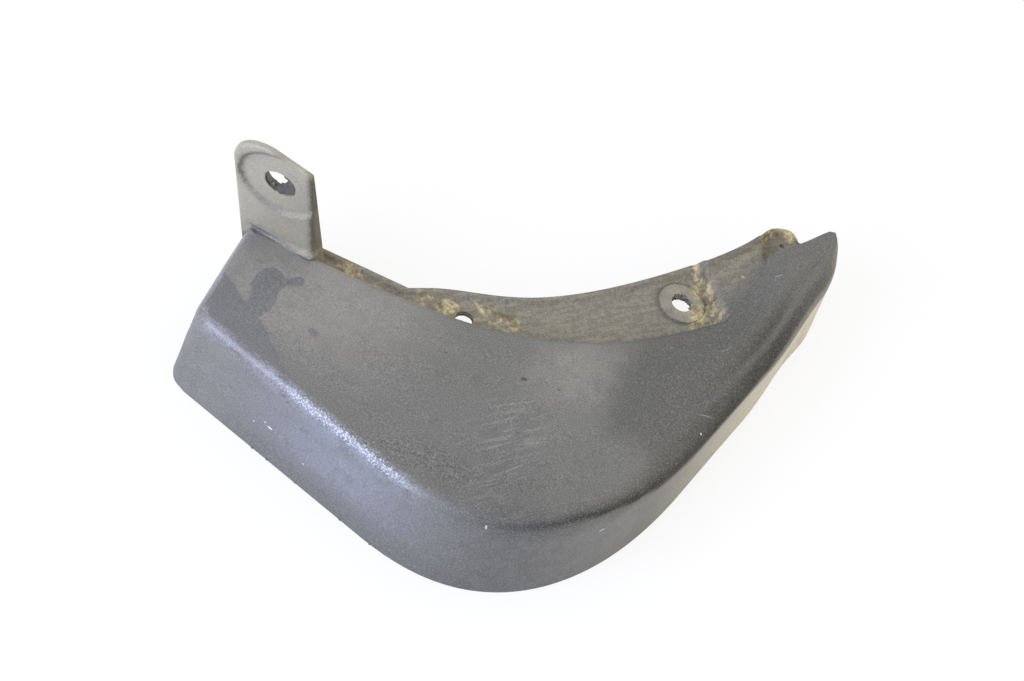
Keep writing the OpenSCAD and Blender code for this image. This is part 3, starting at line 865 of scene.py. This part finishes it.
# Single marks: place on the guard, heading, length and width in mm, colour and strength
SCARS_AND_HIGHLIGHT = [
    (on_panel(524, 379), 30, 3.4, 2.0, "3a3a38", 0.9), (on_panel(559, 390), 0, 1.6, 1.2, "3f3f3c", 0.8),
    (on_panel(446, 352), 10, 1.6, 1.2, "4a4a48", 0.7), (on_panel(314, 332), 0, 5.5, 4.6, "5f6060", 0.6),
    ((197, 134, 49), 40, 9, 0.5, "9b9a94", 0.7), (on_skin(701, 434), 0, 1.3, 1.1, "e2e0d8", 0.9),
    ((176, 123.5, 51), 32, 16, 0.6, "4a4a46", 0.5), ((184, 172, 51), 75, 8, 0.5, "8f8e88", 0.6),
    (on_panel(779, 276), 60, 5, 0.5, "a09f98", 0.7), ((150, 60, 51), 55, 14, 0.7, "8d8c86", 0.5),
    ((152, 44, 51), 68, 10, 0.9, "8d8c86", 0.5), (on_skin(270, 428), 5, 3.2, 0.9, "f0efe8", 0.95),
    ((54.5, 1, 21.6), 0, 1.2, 0.8, "e4e3dc", 0.8), (on_skin(602, 530), 0, 1.2, 1.0, "dcdad2", 0.8),
    (on_skin(486, 527), 0, 1.2, 1.0, "cfcdc4", 0.8), (on_skin(231, 387), 0, 2.4, 2.0, "5e6064", 0.7),
    (on_skin(284, 396), 20, 1.8, 1.3, "4c4d52", 0.8), (on_skin(287, 402), 0, 1.5, 1.1, "505156", 0.8),
    (on_skin(254, 421), 0, 1.3, 1.0, "c4c6ca", 0.7), (on_skin(303, 464), 0, 1.3, 1.0, "c4c6ca", 0.7),
    # A painted highlight on a small moulded pip
    (on_skin(743, 277), 0, 2.0, 1.6, "d6d0bd", 0.8)]
PANEL_Z = 45.2  # a mark above this height lies on the panel, one below it on the skirt
PANEL_REACH, SKIRT_REACH = 3.0, 4.0
scars_and_highlight = []
for spot, heading, length, width, hue, strength in SCARS_AND_HIGHLIGHT:
    local = (Vector(spot) - Vector(origin)) * MM
    deep, tall = (0.5 * width, PANEL_REACH) if spot[2] > PANEL_Z else (SKIRT_REACH, 0.5 * width)
    there = add("ShaderNodeMapping", {
        "Vector": place, "Location": local, "Rotation": (0, 0, np.radians(heading)),
        "Scale": (0.5 * length * MM, deep * MM, tall * MM)}, vector_type="TEXTURE")
    off = add("ShaderNodeVectorMath", (there,), out="Value", operation="LENGTH")
    off = add(MATH, (off, add(MATH, (lump, 1.2, -0.6), operation="MULTIPLY_ADD")), operation="ADD")
    scars_and_highlight.append((None, off, 1.1, 0.7, 0, strength, hue))

# Dirt film on the flange, then the mud itself: ochre where thick, olive brown where thin
film_tone, thick_tone = [
    add(MIX, {0: add(RANGE, pattern, interpolation_type="SMOOTHSTEP"), 6: linear(under), 7: linear(over)},
        out=2, data_type="RGBA")
    for pattern, under, over in (
        ((streaks, 0.42, 0.6), "767161", "8e8873"), ((lump, 0.4, 0.6), "a3946a", "cbbd92"))]
mud_tone = add(MIX, {0: add(RANGE, (mottle, 0.35, 0.62), interpolation_type="SMOOTHSTEP"),
                     6: linear("6b6149"), 7: thick_tone}, out=2, data_type="RGBA")
thickness = add(MATH, (lump, 0.5, add(MATH, (crust, -0.25), operation="ADD")), operation="MULTIPLY_ADD")
DIRT_AND_PAINTED_SHADE = [
    # The ring at the pad's foot is dirt with painted shade
    (film, mottle, 0.25, 0.6, 0.55, 0.95, film_tone), ("seat", mottle, 0.3, 0.6, 0.2, 0.75, "9c9683"),
    ("pad", mottle, 0, 1, 0.75, 0.75, "4f4b3f"), (None, thickness, 0.08, 0.45, 0, 1, mud_tone)]

colour = linear("696862")
shares = []
for where, pattern, low, high, faint, strong, hue in WEAR_AND_PAINTED_LIGHT + scars_and_highlight + DIRT_AND_PAINTED_SHADE:
    share = add(RANGE, (pattern, low, high, faint, strong), interpolation_type="SMOOTHSTEP")
    if isinstance(where, str):
        where = add("ShaderNodeAttribute", out="Fac", attribute_name=where)
    if where:
        share = add(MATH, (where, share), operation="MULTIPLY")
    hue = linear(hue) if isinstance(hue, str) else hue
    colour = add(MIX, {0: share, 6: colour, 7: hue}, out=2, data_type="RGBA")
    shares.append(share)
film_share, muddy = shares[-len(DIRT_AND_PAINTED_SHADE)], shares[-1]

# The grain's tops catch light and its hollows keep it out
for weight, hue in ((0.38, "f4f2ea"), (-0.95, "202020")):
    share = add(MATH, (fine, weight), operation="MULTIPLY")
    colour = add(MIX, {0: share, 6: colour, 7: linear(hue)}, out=2, data_type="RGBA")

# Dirt and the painted shade low on the roll are dull. The ridge is rubbed to a low gloss, which the grain
# breaks into bright points
dull = add(MATH, (film_share, 0.7), operation="MULTIPLY")
for layer in (muddy, painted_roll_shade, root):
    dull = add(MATH, (dull, layer), operation="MAXIMUM")
clean_rough = add(MATH, (ridge, -0.14, add(MATH, (mottle, 0.2, 0.36), operation="MULTIPLY_ADD")),
                  operation="MULTIPLY_ADD")
rough = add(MIX, {0: dull, 2: clean_rough, 3: 0.92})
rubbed = add(MATH, (ridge, 1.2, coarse), operation="MULTIPLY_ADD")
speckled = add(MATH, (specks, rubbed), operation="MULTIPLY")
relief = add(MATH, (grain, 0.7, speckled), operation="MULTIPLY_ADD")
caked = add(MATH, (lump, muddy), operation="MULTIPLY")
relief = add(MATH, (caked, 2.2, relief), operation="MULTIPLY_ADD")
bump = add("ShaderNodeBump", {"Height": relief, "Strength": 0.5, "Distance": 0.16 * MM})
shader = add("ShaderNodeBsdfPrincipled", {
    "Base Color": colour, "Roughness": rough, "Normal": bump, "IOR": 1.49})
add("ShaderNodeOutputMaterial", {"Surface": shader})
skin.materials.clear()
skin.materials.append(plastic)

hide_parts("mudguard")
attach(guard, "root")


# Floor and light
# A white paper floor that the camera sees as plain white with a soft shadow, an even
# light from above, a cool window to the left and a warm bounce from the right.
floor_mesh = bpy.data.meshes.new("paper_floor")
FLOOR_HALF = 3.0
floor_z = -origin[2] * MM - 0.0001
corners = [(sx * FLOOR_HALF, sy * FLOOR_HALF, floor_z) for sx, sy in ((-1, -1), (1, -1), (1, 1), (-1, 1))]
floor_mesh.from_pydata(corners, [], [(0, 1, 2, 3)])
floor = bpy.data.objects.new("paper_floor", floor_mesh)
bpy.context.scene.collection.objects.link(floor)

paper = bpy.data.materials.new("paper_white_matt")
paper.use_nodes = True
tree = paper.node_tree
tree.nodes.clear()
# The rest of the floor's light is left to the paper, which keeps the object's shadow
PLAIN_SHARE = 0.82
seen = add(MATH, (add("ShaderNodeLightPath", out="Is Camera Ray"), PLAIN_SHARE), operation="MULTIPLY")
face = add("ShaderNodeMixShader", (
    seen, add("ShaderNodeBsdfDiffuse", {"Color": linear("f4f4f2")}),
    add("ShaderNodeEmission", {"Color": (1, 1, 1, 1), "Strength": 1.0})))
add("ShaderNodeOutputMaterial", {"Surface": face})
floor_mesh.materials.append(paper)

world = bpy.data.worlds.new("studio")
bpy.context.scene.world = world
world.use_nodes = True
tree = world.node_tree
tree.nodes.clear()
height = add("ShaderNodeSeparateXYZ", (add("ShaderNodeTexCoord", out="Generated"),), out=2)
ceiling = add(RANGE, (height, 0.05, 0.6, 0.2, 0.92), interpolation_type="SMOOTHSTEP")
sky = add("ShaderNodeMixShader", (
    add("ShaderNodeLightPath", out="Is Camera Ray"),
    add("ShaderNodeBackground", {"Color": linear("fffdf8"), "Strength": ceiling}),
    add("ShaderNodeBackground", {"Color": (1, 1, 1, 1), "Strength": 1.0})))
add("ShaderNodeOutputWorld", {"Surface": sky})


def soft_light(name, place, aim, size, watts, hue):
    data = bpy.data.lights.new(name, "AREA")
    data.shape = "RECTANGLE"
    data.size, data.size_y = size
    data.energy = watts
    data.color = linear(hue)[:3]
    lamp = bpy.data.objects.new(name, data)
    turn = (Vector(aim) - Vector(place)).to_track_quat("-Z", "Y")
    lamp.matrix_world = Matrix.Translation(place) @ turn.to_matrix().to_4x4()
    bpy.context.scene.collection.objects.link(lamp)


soft_light("window_cool", (-0.42, -1.25, 0.78), (-0.05, -0.15, 0), (0.9, 1.0), 23, "c8d4ff")
soft_light("bounce_warm", (0.95, 1.25, 0.2), (0.05, 0.0, 0), (0.9, 0.4), 11, "fff0d6")
